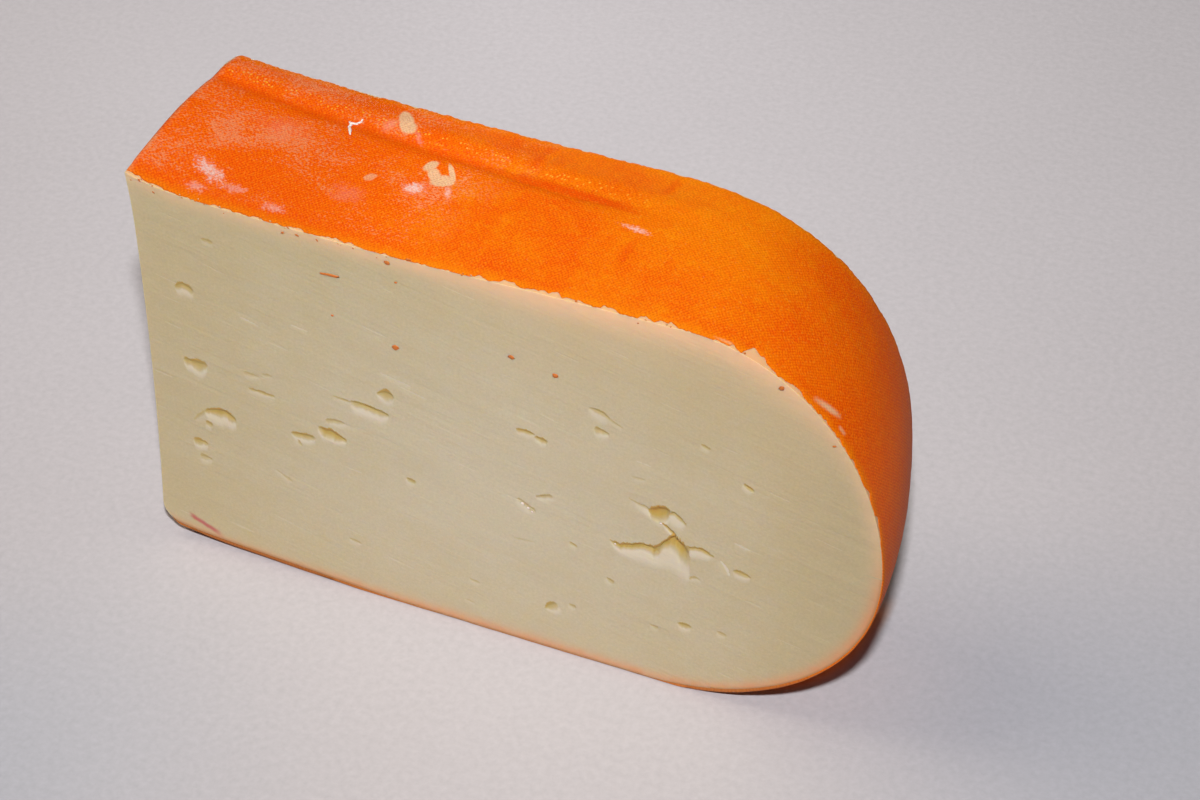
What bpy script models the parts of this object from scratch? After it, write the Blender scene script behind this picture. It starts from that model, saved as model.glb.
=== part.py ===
"""A slab of mahon cheese, cut across a rounded block and stood on its long rind side.

Two flat knife cuts are the front (-Y) and back (+Y) faces, and a third cut closes the square end (-X).
Orange rind covers the top, the rounded end (+X) and the bottom.
Metres, +Z up, origin at the middle of the base.
"""

import math
import random

import bmesh
import bpy
from mathutils import Matrix, Vector

# Driving dimensions. Lengths run from the square end's top corner, heights from the ground.
LENGTH = 0.1218
HEIGHT = 0.0716
THICKNESS = 0.0280
BACK_SHORTER = 0.0056  # the block's corner rounds away behind the front cut
BACK_TALLER = 0.0047  # the top rind climbs towards the back cut

# Rounded end: a quarter ellipse below the mid height, a quarter superellipse above it.
END_MID_HEIGHT = 0.0348
TOP_REACH_FRONT, TOP_REACH_BACK = 0.0310, 0.0400
TOP_POWER_FRONT, TOP_POWER_BACK = 2.0, 2.35
BOTTOM_REACH = 0.0380
TOP_CORNER_FRONT, TOP_CORNER_BACK = 0.0004, 0.0018
BOTTOM_CORNER_RADIUS = 0.0032

# How the long sides depart from straight.
TOP_RISE_FRONT, TOP_RISE_BACK = 0.0023, 0.0025
RISE_REACH_FRONT, RISE_REACH_BACK = 0.0050, 0.0260
TOP_DIP_FRONT, TOP_DIP_BACK = 0.0006, 0.0
DIP_PLACE, DIP_REACH = 0.0450, 0.0200
HEEL_LIFT, HEEL_REACH = 0.0017, 0.0050
BOTTOM_LIFT_FRONT, BOTTOM_LIFT_BACK = 0.0019, 0.0012
LIFT_REACH = 0.0500  # beyond this length the bottom is flat, and the slab rests there
FOOT_OUT, FOOT_HEIGHT = 0.0025, 0.0620  # the square cut leans out towards its foot
BROW_OUT, BROW_START, BROW_REACH = 0.0005, 0.85, 0.0050  # and a little at its top edge
END_SKEW = 0.0034  # and it is turned, so its back edge stands further in

# Rind relief across the thickness.
CROWN = 0.0012
GROOVE_DEPTH, GROOVE_WIDTH = 0.0009, 0.0013
GROOVE_START, GROOVE_END = 0.0220, 0.0176  # distance of the groove from the front cut, at each end
GROOVE_LENGTH, GROOVE_FADE = 0.0860, 0.0090
RIDGE_HEIGHT, RIDGE_WIDTH, RIDGE_BEHIND = 0.0006, 0.0020, 0.0034

RINGS = 17
SEGMENTS = {"top": 26, "end_top": 18, "end_bottom": 18, "bottom": 20, "foot": 4, "cut": 10, "shoulder": 2}
RIND_SEGMENTS = ("top", "end_top", "end_bottom", "bottom")

# Eyes in the front cut: length, height, half width, half height, tilt in degrees.
FRONT_EYES = (
    (0.0075, 0.0546, 0.0016, 0.0012, 20),
    (0.0075, 0.0389, 0.0022, 0.0009, -8),
    (0.0112, 0.0300, 0.0030, 0.0011, -12),
    (0.0068, 0.0212, 0.0010, 0.0016, 10),
    (0.0196, 0.0376, 0.0029, 0.0006, -6),
    (0.0256, 0.0304, 0.0013, 0.0010, 0),
    (0.0312, 0.0338, 0.0017, 0.0019, 35),
    (0.0384, 0.0400, 0.0031, 0.0008, -12),
    (0.0411, 0.0440, 0.0012, 0.0009, 0),
    (0.0445, 0.0273, 0.0010, 0.0009, 0),
    (0.0644, 0.0293, 0.0012, 0.0013, 30),
    (0.0676, 0.0320, 0.0011, 0.0007, 15),
    (0.0659, 0.0440, 0.0025, 0.0007, -14),
    (0.0774, 0.0520, 0.0018, 0.0007, -20),
    (0.0774, 0.0483, 0.0016, 0.0006, -5),
    (0.0679, 0.0091, 0.0014, 0.0011, 40),
    (0.0905, 0.0138, 0.0012, 0.0008, -15),
    (0.0995, 0.0278, 0.0019, 0.0006, -10),
    (0.1006, 0.0452, 0.0010, 0.0008, 0),
)
EYE_DEPTH = 0.0020

# The open crack near the rounded end: overlapping hollows, with a depth of each.
CRACK = (
    (0.0848, 0.0269, 0.0062, 0.0014, 8, 0.0042),
    (0.0895, 0.0268, 0.0023, 0.0030, -30, 0.0046),
    (0.0872, 0.0355, 0.0034, 0.0018, -8, 0.0038),
    (0.0886, 0.0318, 0.0012, 0.0030, -12, 0.0040),
    (0.0935, 0.0302, 0.0024, 0.0006, -6, 0.0024),
)

# Eyes in the cuts that face away are drawn by a seeded rule, in the front ones' range of sizes.
BACK_EYES, END_EYES, EYE_SEED = 11, 4, 5
EYE_MARGIN = 0.0100
EYE_ACROSS, EYE_UP, EYE_TILT = (0.0010, 0.0026), (0.0007, 0.0013), 20

RIND_COLOUR = (0.93, 0.17, 0.005, 1.0)
PASTE_COLOUR = (0.80, 0.66, 0.40, 1.0)


def between(front, back, depth):
    """A value that changes evenly from the front cut, depth 0, to the back cut, depth 1."""
    return front + (back - front) * depth


def bar_outline(depth):
    """The plain rounded bar at one depth: (segment, x, z, outward x, outward z) round the outline."""
    length = LENGTH - BACK_SHORTER * depth
    height = HEIGHT + BACK_TALLER * depth
    reach = between(TOP_REACH_FRONT, TOP_REACH_BACK, depth)
    power = between(TOP_POWER_FRONT, TOP_POWER_BACK, depth)
    shoulder = between(TOP_CORNER_FRONT, TOP_CORNER_BACK, depth)
    foot = BOTTOM_CORNER_RADIUS
    points = []

    def line(name, x0, z0, x1, z1, nx, nz):
        for i in range(SEGMENTS[name]):
            t = i / SEGMENTS[name]
            points.append((name, x0 + (x1 - x0) * t, z0 + (z1 - z0) * t, nx, nz))

    def arc(name, cx, cz, rx, rz, first, last, n=2.0):
        """A superellipse arc of power n, clockwise from angle first to last."""
        for i in range(SEGMENTS[name]):
            a = math.radians(first + (last - first) * i / SEGMENTS[name])
            c, s = math.cos(a), math.sin(a)
            x = cx + rx * math.copysign(abs(c) ** (2 / n), c)
            z = cz + rz * math.copysign(abs(s) ** (2 / n), s)
            points.append((name, x, z, c, s))

    line("top", shoulder, height, length - reach, height, 0, 1)
    arc("end_top", length - reach, END_MID_HEIGHT, reach, height - END_MID_HEIGHT, 90, 0, power)
    arc("end_bottom", length - BOTTOM_REACH, END_MID_HEIGHT, BOTTOM_REACH, END_MID_HEIGHT, 0, -90)
    line("bottom", length - BOTTOM_REACH, 0, foot, 0, 0, -1)
    arc("foot", foot, foot, foot, foot, -90, -180)
    line("cut", 0, foot, 0, height - shoulder, -1, 0)
    arc("shoulder", shoulder, height - shoulder, shoulder, shoulder, 180, 90)
    return points, length, height


def top_change(x, depth):
    """How far the top stands above the plain bar: a rise at the square end, and a shallow dip."""
    rise = between(TOP_RISE_FRONT, TOP_RISE_BACK, depth)
    reach = between(RISE_REACH_FRONT, RISE_REACH_BACK, depth)
    dip = between(TOP_DIP_FRONT, TOP_DIP_BACK, depth)
    return rise * math.exp(-max(x, 0) / reach) - dip * math.exp(-(((x - DIP_PLACE) / DIP_REACH) ** 2))


def bottom_change(x, depth):
    """How far the bottom lifts off the ground: a turned-up heel, and a long slow lift."""
    lift = between(BOTTOM_LIFT_FRONT, BOTTOM_LIFT_BACK, depth)
    return HEEL_LIFT * math.exp(-max(x, 0) / HEEL_REACH) + lift * max(1 - (x / LIFT_REACH) ** 2, 0) ** 2


def end_change(x, z, length, height, depth):
    """How far the square cut stands out of the plain bar, along X."""
    high = max((z / height - BROW_START) / (1 - BROW_START), 0)
    brow = BROW_OUT * high**2 * math.exp(-max(x, 0) / BROW_REACH)
    lean = END_SKEW * depth - FOOT_OUT * max(1 - z / FOOT_HEIGHT, 0) ** 2
    return lean * max(1 - x / length, 0) - brow


def groove_and_ridge(x, y):
    """The cloth-fold groove along the top's back, and the low ridge behind it. y is from the front cut."""
    share = max(x, 0) / GROOVE_LENGTH
    behind = y - between(GROOVE_START, GROOVE_END, share)
    fade = 1 / (1 + math.exp((x - GROOVE_LENGTH) / GROOVE_FADE * 3))
    groove = -GROOVE_DEPTH * (0.6 + 0.4 * min(share, 1)) * math.exp(-((behind / GROOVE_WIDTH) ** 2))
    ridge = RIDGE_HEIGHT * math.exp(-(((behind - RIDGE_BEHIND) / RIDGE_WIDTH) ** 2))
    return fade * (groove + ridge)


def section(depth):
    """The slab's outline at one depth: the plain bar, with its sides bent, its rind crowned and grooved."""
    y = THICKNESS * depth
    points, length, height = bar_outline(depth)
    ring = []
    for name, x, z, nx, nz in points:
        high = z / height
        bent_x = x + end_change(x, z, length, height, depth)
        bent_z = z + high * top_change(x, depth) + (1 - high) * bottom_change(x, depth)
        out = CROWN * 4 * depth * (1 - depth) * min(max(nx, 0) + max(nz, 0), 1)
        relief = groove_and_ridge(x, y) * max(nz, 0)
        ring.append((name, Vector((bent_x + nx * out, y, max(bent_z + nz * out + relief, 0)))))
    return ring


def make_slab(collection, rind, paste):
    """Lofts the sections from cut to cut, and closes both cuts with one flat face each."""
    bm = bmesh.new()
    rings = [section(i / (RINGS - 1)) for i in range(RINGS)]
    names = [name for name, _ in rings[0]]
    loops = [[bm.verts.new(p) for _, p in ring] for ring in rings]
    count = len(names)
    for near, far in zip(loops, loops[1:]):
        for i in range(count):
            j = (i + 1) % count
            face = bm.faces.new((near[i], near[j], far[j], far[i]))
            face.material_index = 0 if names[i] in RIND_SEGMENTS else 1
            face.smooth = True
    for loop in (loops[0], loops[-1]):
        bm.faces.new(loop).material_index = 1
    bmesh.ops.recalc_face_normals(bm, faces=bm.faces)
    low = Vector([min(v.co[k] for v in bm.verts) for k in range(3)])
    high = Vector([max(v.co[k] for v in bm.verts) for k in range(3)])
    base = Vector(((low.x + high.x) / 2, (low.y + high.y) / 2, low.z))
    bmesh.ops.translate(bm, verts=bm.verts, vec=-base)
    mesh = bpy.data.meshes.new("cheese")
    bm.to_mesh(mesh)
    bm.free()
    mesh.materials.append(rind)
    mesh.materials.append(paste)
    mesh.set_sharp_from_angle(angle=math.radians(40))
    slab = bpy.data.objects.new("cheese", mesh)
    collection.objects.link(slab)
    return slab, base


def make_hollow(name, collection, paste, centre, half, tilt, turn=0.0, rounds=2):
    """An ellipsoid cutter with half sizes (across, in, up), tilted in the cut face, turned about Z."""
    bm = bmesh.new()
    bmesh.ops.create_icosphere(bm, subdivisions=rounds, radius=1)
    place = (
        Matrix.Translation(centre)
        @ Matrix.Rotation(math.radians(turn), 4, "Z")
        @ Matrix.Rotation(math.radians(-tilt), 4, "Y")
        @ Matrix.Diagonal((*half, 1))
    )
    bmesh.ops.transform(bm, matrix=place, verts=bm.verts)
    mesh = bpy.data.meshes.new(name)
    bm.to_mesh(mesh)
    bm.free()
    mesh.materials.append(paste)
    cutter = bpy.data.objects.new(name, mesh)
    cutter.hide_render = True
    cutter.display_type = "WIRE"
    collection.objects.link(cutter)
    return cutter


def front_hollows(collection, paste, base):
    """The eyes and the crack that the front cut opens."""
    for i, (x, z, across, up, tilt) in enumerate(FRONT_EYES):
        centre = Vector((x, 0, z)) - base
        make_hollow(f"front_eye_{i}", collection, paste, centre, (across, EYE_DEPTH, up), tilt)
    for i, (x, z, across, up, tilt, deep) in enumerate(CRACK):
        centre = Vector((x, 0, z)) - base
        make_hollow(f"crack_{i}", collection, paste, centre, (across, deep, up), tilt, rounds=3)


def far_spots(rng, count, low, high):
    """Random places in a rectangle (across, up) that keep clear of each other."""
    spots = []
    while len(spots) < count:
        spot = (rng.uniform(low[0], high[0]), rng.uniform(low[1], high[1]))
        if all(math.dist(spot, other) > EYE_MARGIN for other in spots):
            spots.append(spot)
    return spots


def far_hollows(collection, paste, base):
    """Eyes in the back cut and in the square end."""
    rng = random.Random(EYE_SEED)
    top = HEIGHT - EYE_MARGIN
    far_end = LENGTH - BOTTOM_REACH / 2 - EYE_MARGIN
    for i, (x, z) in enumerate(far_spots(rng, BACK_EYES, (EYE_MARGIN, EYE_MARGIN), (far_end, top))):
        across, up = rng.uniform(*EYE_ACROSS), rng.uniform(*EYE_UP)
        centre = Vector((x, THICKNESS, z)) - base
        tilt = rng.uniform(-EYE_TILT, EYE_TILT)
        make_hollow(f"back_eye_{i}", collection, paste, centre, (across, EYE_DEPTH, up), tilt)
    edge = THICKNESS / 4
    for i, (y, z) in enumerate(far_spots(rng, END_EYES, (edge, EYE_MARGIN), (THICKNESS - edge, top))):
        across, up = rng.uniform(*EYE_ACROSS), rng.uniform(*EYE_UP)
        x = end_change(0, z, LENGTH, HEIGHT, y / THICKNESS)
        centre = Vector((x, y, z)) - base
        tilt = rng.uniform(-EYE_TILT, EYE_TILT)
        make_hollow(f"end_eye_{i}", collection, paste, centre, (across, EYE_DEPTH, up), tilt, turn=90)


def finish(name, colour, roughness):
    """A plain Principled material."""
    material = bpy.data.materials.new(name)
    material.use_nodes = True
    shader = material.node_tree.nodes["Principled BSDF"]
    shader.inputs["Base Color"].default_value = colour
    shader.inputs["Roughness"].default_value = roughness
    shader.inputs["Metallic"].default_value = 0.0
    return material


def new_collection(name):
    collection = bpy.data.collections.new(name)
    bpy.context.scene.collection.children.link(collection)
    return collection


def main():
    for obj in list(bpy.data.objects):
        bpy.data.objects.remove(obj)
    part = new_collection("mahon_cheese")
    cutters = new_collection("cutters")
    rind = finish("rind", RIND_COLOUR, 0.45)
    paste = finish("paste", PASTE_COLOUR, 0.50)
    slab, base = make_slab(part, rind, paste)
    front_hollows(cutters, paste, base)
    far_hollows(cutters, paste, base)
    cut = slab.modifiers.new("eyes", "BOOLEAN")
    cut.operation = "DIFFERENCE"
    cut.operand_type = "COLLECTION"
    cut.collection = cutters
    cut.solver = "EXACT"
    cut.use_self = True


main()
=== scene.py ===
import functools
import math
import random

import bpy
import numpy as np
from mathutils import Matrix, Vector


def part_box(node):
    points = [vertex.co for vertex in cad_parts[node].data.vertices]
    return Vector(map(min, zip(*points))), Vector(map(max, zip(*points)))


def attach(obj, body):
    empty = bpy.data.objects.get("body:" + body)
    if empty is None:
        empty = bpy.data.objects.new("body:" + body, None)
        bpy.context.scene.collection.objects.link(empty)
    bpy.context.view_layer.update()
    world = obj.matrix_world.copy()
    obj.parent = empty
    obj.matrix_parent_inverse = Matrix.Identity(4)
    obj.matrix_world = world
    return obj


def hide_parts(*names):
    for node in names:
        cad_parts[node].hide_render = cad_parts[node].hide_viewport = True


# Looks of a slab of mahon cheese: orange rind round the top, the rounded end and the bottom, pale paste
# on the knife cuts. Sizes are in millimetres until a mesh is made. x runs along the slab from the square
# end's front top corner, y in from the front cut, z up from the ground, and v is y as a share, 0 to 1.
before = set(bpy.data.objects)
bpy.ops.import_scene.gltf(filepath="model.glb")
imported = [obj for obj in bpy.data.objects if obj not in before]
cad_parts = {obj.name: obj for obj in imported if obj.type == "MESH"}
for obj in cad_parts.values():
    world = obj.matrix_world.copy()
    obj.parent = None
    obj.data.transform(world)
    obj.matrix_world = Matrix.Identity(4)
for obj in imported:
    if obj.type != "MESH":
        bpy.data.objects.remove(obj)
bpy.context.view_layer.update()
mm = 0.001

slab = {
    "length": 121.8, "height": 71.6, "thickness": 28.0,
    "backShorter": 5.6, "backTaller": 4.7,        # the back cut is shorter and taller than the front one
    "midHeight": 34.8,                            # height of the rounded end's tip
    "topReach": (31.0, 40.0), "topPower": (2.0, 2.35), "bottomReach": 38.0,
    "shoulder": (0.4, 1.8), "foot": 3.2,          # corner radii of the square end
    "rise": (2.3, 2.5), "riseReach": (5.0, 26.0),  # the top climbs to the square end
    "dip": (0.6, 0.0), "dipPlace": 45.0, "dipReach": 20.0,
    "heel": 1.7, "heelReach": 5.0, "lift": (1.9, 1.2), "liftReach": 50.0,  # the bottom leaves the ground
    "browOut": 0.5, "browStart": 0.85, "browReach": 5.0,
    "footOut": 2.5, "footHeight": 62.0, "endSkew": 3.4,
    "crown": 1.2,
    "grooveDepth": 0.9, "grooveWidth": 1.3, "grooveLength": 86.0, "grooveFade": 3.0,
    "groovePlace": (22.0, 17.6),                  # its distance from the front cut, at its two ends
    "ridgeHeight": 0.6, "ridgeWidth": 2.0, "ridgeBehind": 3.4,
}
nodeLow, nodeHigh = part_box("cheese")
slabOrigin = (nodeHigh.x / mm - slab["length"], nodeLow.y / mm, nodeLow.z / mm)


def between(pair, v):  # a value that changes evenly from the front cut to the back cut
    return pair[0] + (pair[1] - pair[0]) * v


def smoothStep(value, low, high):  # 0 below low, 1 above high, an S curve between
    t = np.clip((value - low) / (high - low), 0, 1)
    return t * t * (3 - 2 * t)


def lumps(a, b, size, seed):
    # Random heights from -1 to 1 on a square grid of this size, eased from corner to corner.
    table = np.random.RandomState(seed).uniform(-1, 1, (64, 64))
    a, b = np.asarray(a) / size + 17.3, np.asarray(b) / size + 9.1
    i, j = np.floor(a).astype(int), np.floor(b).astype(int)
    s, t = smoothStep(a - i, 0, 1), smoothStep(b - j, 0, 1)
    low = table[i % 64, j % 64] * (1 - s) + table[(i + 1) % 64, j % 64] * s
    high = table[i % 64, (j + 1) % 64] * (1 - s) + table[(i + 1) % 64, (j + 1) % 64] * s
    return low * (1 - t) + high * t


def barSizes(v, under=0.0):
    # Of the plain bar at v, this far under its outside: length, height, height of the tip, reach and power of
    # the rounded end above it, reach below it, and radius of the foot and of the shoulder.
    length = slab["length"] - slab["backShorter"] * v - under
    height = slab["height"] + slab["backTaller"] * v - under
    reach, power = between(slab["topReach"], v) - under, between(slab["topPower"], v)
    shoulder = np.maximum(between(slab["shoulder"], v) - under, 0.05)
    lowReach, foot = slab["bottomReach"] - under, slab["foot"] - under
    return length, height, slab["midHeight"], reach, power, lowReach, foot, shoulder


def grooveAt(x, y):
    # The groove's depth, a bell curve of the distance to its line, the ridge behind it, another one that is
    # 1 at its crest, and how both fade at the end of their length.
    share = np.maximum(x, 0) / slab["grooveLength"]
    behind = y - between(slab["groovePlace"], share)
    deep = np.exp(-((behind / slab["grooveWidth"]) ** 2)) * (0.6 + 0.4 * np.minimum(share, 1))
    deep = deep * slab["grooveDepth"]
    ridge = np.exp(-(((behind - slab["ridgeBehind"]) / slab["ridgeWidth"]) ** 2))
    return deep, ridge, 1 / (1 + np.exp((x - slab["grooveLength"]) / slab["grooveFade"]))


def bend(x, z, v, nx=0.0, nz=0.0, raised=0.0):
    # From the plain bar to the real slab. z gains the top's rise in proportion to height, and the bottom's
    # lift in proportion to what is left. x gains the lean of the square end. The rind is crowned across the
    # thickness by 4v(1-v), and carries the groove and the ridge. nx, nz is the outward direction.
    length, height = barSizes(v)[:2]
    along, high = np.maximum(x, 0), z / height
    top = between(slab["rise"], v) * np.exp(-along / between(slab["riseReach"], v))
    top = top - between(slab["dip"], v) * np.exp(-(((x - slab["dipPlace"]) / slab["dipReach"]) ** 2))
    bottom = slab["heel"] * np.exp(-along / slab["heelReach"])
    bottom = bottom + between(slab["lift"], v) * np.maximum(1 - (x / slab["liftReach"]) ** 2, 0) ** 2
    browShare = np.clip((high - slab["browStart"]) / (1 - slab["browStart"]), 0, 1)
    brow = slab["browOut"] * browShare**2 * np.exp(-along / slab["browReach"])
    lean = slab["endSkew"] * v - slab["footOut"] * np.maximum(1 - z / slab["footHeight"], 0) ** 2
    deep, ridge, fade = grooveAt(x, slab["thickness"] * v)
    relief = (slab["ridgeHeight"] * ridge - deep) * fade * np.maximum(nz, 0)
    out = slab["crown"] * 4 * v * (1 - v) * np.minimum(np.maximum(nx, 0) + np.maximum(nz, 0), 1) + raised
    bentX = x - brow + lean * np.maximum(1 - x / length, 0) + nx * out
    bentZ = z + high * top + (1 - high) * bottom + nz * out + relief
    return bentX, np.maximum(bentZ, 0)


def inFrame(x, y, z):  # slab millimetres to the frame's metres
    points = np.stack(np.broadcast_arrays(x, y, z), -1).astype(float)
    return (points + np.array(slabOrigin)) * mm


def meshFrom(name, points, loops, counts):
    # One mesh from corner lists laid end to end. Points in the same place become one, corners that then
    # repeat are dropped, and so are faces left with fewer than three.
    points = np.ascontiguousarray(points.reshape(-1, 3).astype(np.float32)) + np.float32(0)
    bits = points.view([("", np.float32)] * 3).reshape(-1)
    _, first, merged = np.unique(bits, return_index=True, return_inverse=True)
    loops = merged.reshape(-1)[loops]
    owner = np.repeat(np.arange(len(counts)), counts)
    starts = np.concatenate([[0], np.cumsum(counts)[:-1]])
    before = np.roll(loops, 1)
    before[starts] = loops[starts + counts - 1]
    kept = loops != before
    loops, owner = loops[kept], owner[kept]
    counts = np.bincount(owner, minlength=len(counts))
    good = counts >= 3
    loops, counts = loops[good[owner]], counts[good]
    used, loops = np.unique(loops, return_inverse=True)
    mesh = bpy.data.meshes.new(name)
    for items, count in ((mesh.vertices, len(used)), (mesh.loops, len(loops)), (mesh.polygons, len(counts))):
        items.add(count)
    mesh.vertices.foreach_set("co", points[first[used]].ravel())
    mesh.loops.foreach_set("vertex_index", loops.reshape(-1).astype(np.int32))
    mesh.polygons.foreach_set("loop_start", np.concatenate([[0], np.cumsum(counts)[:-1]]).astype(np.int32))
    mesh.polygons.foreach_set("use_smooth", np.full(len(counts), True))
    mesh.update(calc_edges=True)
    mesh.validate(clean_customdata=False)
    made = bpy.data.objects.new(name, mesh)
    bpy.context.scene.collection.objects.link(made)
    return made, first[used]


def pointValues(made, **values):  # numbers at each point of a mesh, for the materials
    for name, numbers in values.items():
        numbers = numbers.astype(np.float32).ravel()
        made.data.attributes.new(name, "FLOAT", "POINT").data.foreach_set("value", numbers)


def wear(made, material):  # rides on the slab's only body and stands for its solid
    made.data.materials.append(material)
    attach(made, "root")
    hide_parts("cheese")
    triangles = sum(len(p.vertices) - 2 for p in made.data.polygons)
    print(made.name, "has", triangles, "triangles")


class Wire:
    # A socket in a finish. Sums on it are written as Python and become Math nodes.
    def __init__(self, finish, socket):
        self.finish, self.socket = finish, socket

    def largest(self, other):
        return self.finish.sum("MAXIMUM", self, other)

    def size(self):  # without its sign
        return self.finish.sum("ABSOLUTE", self)

    def bell(self):  # e to the power of minus its square
        return self.finish.sum("EXPONENT", self**2.0 * -1.0)

    def clipped(self):
        return self.finish.node("ShaderNodeClamp", {}, {"Value": self})

    def ramp(self, low, high):  # an S curve from 0 at low to 1 at high
        return self.finish.node("ShaderNodeMapRange", {"interpolation_type": "SMOOTHSTEP"},
                                {"Value": self, "From Min": low, "From Max": high})


def addOperator(word, operation):  # with the wire on the left of it, and on the right
    setattr(Wire, f"__{word}__", lambda self, other: self.finish.sum(operation, self, other))
    setattr(Wire, f"__r{word}__", lambda self, other: self.finish.sum(operation, other, self))


operators = {"add": "ADD", "sub": "SUBTRACT", "mul": "MULTIPLY", "truediv": "DIVIDE", "pow": "POWER"}
for pair in operators.items():
    addOperator(*pair)


def strongest(masks):  # the largest of several at each place
    return functools.reduce(Wire.largest, masks)


class Finish:
    # A material with one Principled shader. It starts as one colour of a piece's dictionary, and is painted
    # with others.
    def __init__(self, name, piece, start, fixed):
        self.piece, self.colour = piece, piece[start]
        self.material = bpy.data.materials.new(name)
        self.material.use_nodes = True
        self.tree = self.material.node_tree
        self.shader = self.tree.nodes["Principled BSDF"]
        for socket, value in fixed.items():
            self.shader.inputs[socket].default_value = value
        self.place = self.node("ShaderNodeTexCoord", {}, {}, "Object")
        parts = self.tree.nodes.new("ShaderNodeSeparateXYZ")
        self.tree.links.new(self.place.socket, parts.inputs[0])
        self.x, self.y, self.z = (Wire(self, parts.outputs[i]) / mm - slabOrigin[i] for i in range(3))

    def node(self, kind, settings, inputs, out=0):
        made = self.tree.nodes.new(kind)
        for key, value in settings.items():
            setattr(made, key, value)
        for key, value in inputs.items():
            if isinstance(value, Wire):
                self.tree.links.new(value.socket, made.inputs[key])
            else:
                made.inputs[key].default_value = value
        return Wire(self, made.outputs[out])

    def sum(self, operation, *values):
        return self.node("ShaderNodeMath", {"operation": operation}, dict(enumerate(values)))

    def mix(self, mask, second, **settings):
        inputs = {0: mask, 6: self.colour, 7: second}
        self.colour = self.node("ShaderNodeMix", {"data_type": "RGBA", **settings}, inputs, 2)

    def paint(self, mask, name):  # with this colour, all of it where the mask is 1
        self.mix(mask, self.piece[name])

    def shade(self, strength):  # the colour times a number
        grey = self.node("ShaderNodeCombineColor", {}, {0: strength, 1: strength, 2: strength})
        self.mix(1.0, grey, blend_type="MULTIPLY")

    def attribute(self, name):
        return self.node("ShaderNodeAttribute", {"attribute_name": name}, {}, "Fac")

    def vector(self, x, y, z):
        return self.node("ShaderNodeCombineXYZ", {}, {0: x, 1: y, 2: z})

    def noise(self, vector, size, detail=2.0, roughness=0.5, distortion=0.0):  # size in the vector's unit
        return self.node("ShaderNodeTexNoise", {}, {"Vector": vector, "Scale": 1 / size, "Detail": detail,
                                                    "Roughness": roughness, "Distortion": distortion})

    def set(self, socket, value):
        self.tree.links.new(value.socket, self.shader.inputs[socket])

    def relief(self, height, strength):  # height in millimetres, bumped onto the surface
        inputs = {"Height": height * mm, "Distance": 1.0, "Strength": strength}
        self.set("Normal", self.node("ShaderNodeBump", {}, inputs, "Normal"))


# Paste: the cuts
paste = {
    "creamWarm": (0.535, 0.428, 0.256, 1.0), "creamCool": (0.585, 0.494, 0.352, 1.0),
    "glow": (0.84, 0.52, 0.31, 1.0),            # light that has come through the rind above
    "underGlow": (0.70, 0.27, 0.12, 1.0),      # and below
    "amber": (0.47, 0.320, 0.088, 1.0),        # painted shade deep in the eyes, amber like light through the paste
    "darkAmber": (0.56, 0.30, 0.070, 1.0),     # and in the shade of their lips
    "pale": (0.68, 0.590, 0.470, 1.0),        # painted highlight on the ramps below them, which face the lamp, and pale scratches
    "lip": (0.64, 0.360, 0.175, 1.0),          # paste under the broken edge of the rind, painted peach like the light through the rind
    # foot: an orange-brown line along the bottom edge, painted shade of the gap under the slab, warmed by
    # light off the rind
    "stroke": (0.50, 0.13, 0.11, 1.0), "foot": (0.50, 0.21, 0.08, 1.0),
    "under": 0.25,                             # how far the paste lies under the rind's outside
    "columns": 966, "rows": 480, "deep": 186, "block": 6,
    "eyeShare": 0.18, "crackShare": 0.21,      # how much of the depths below is cut, as they're lit through
    "waviness": 0.07, "sharpest": 55,           # of edges shaded smooth, in degrees
}

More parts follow.
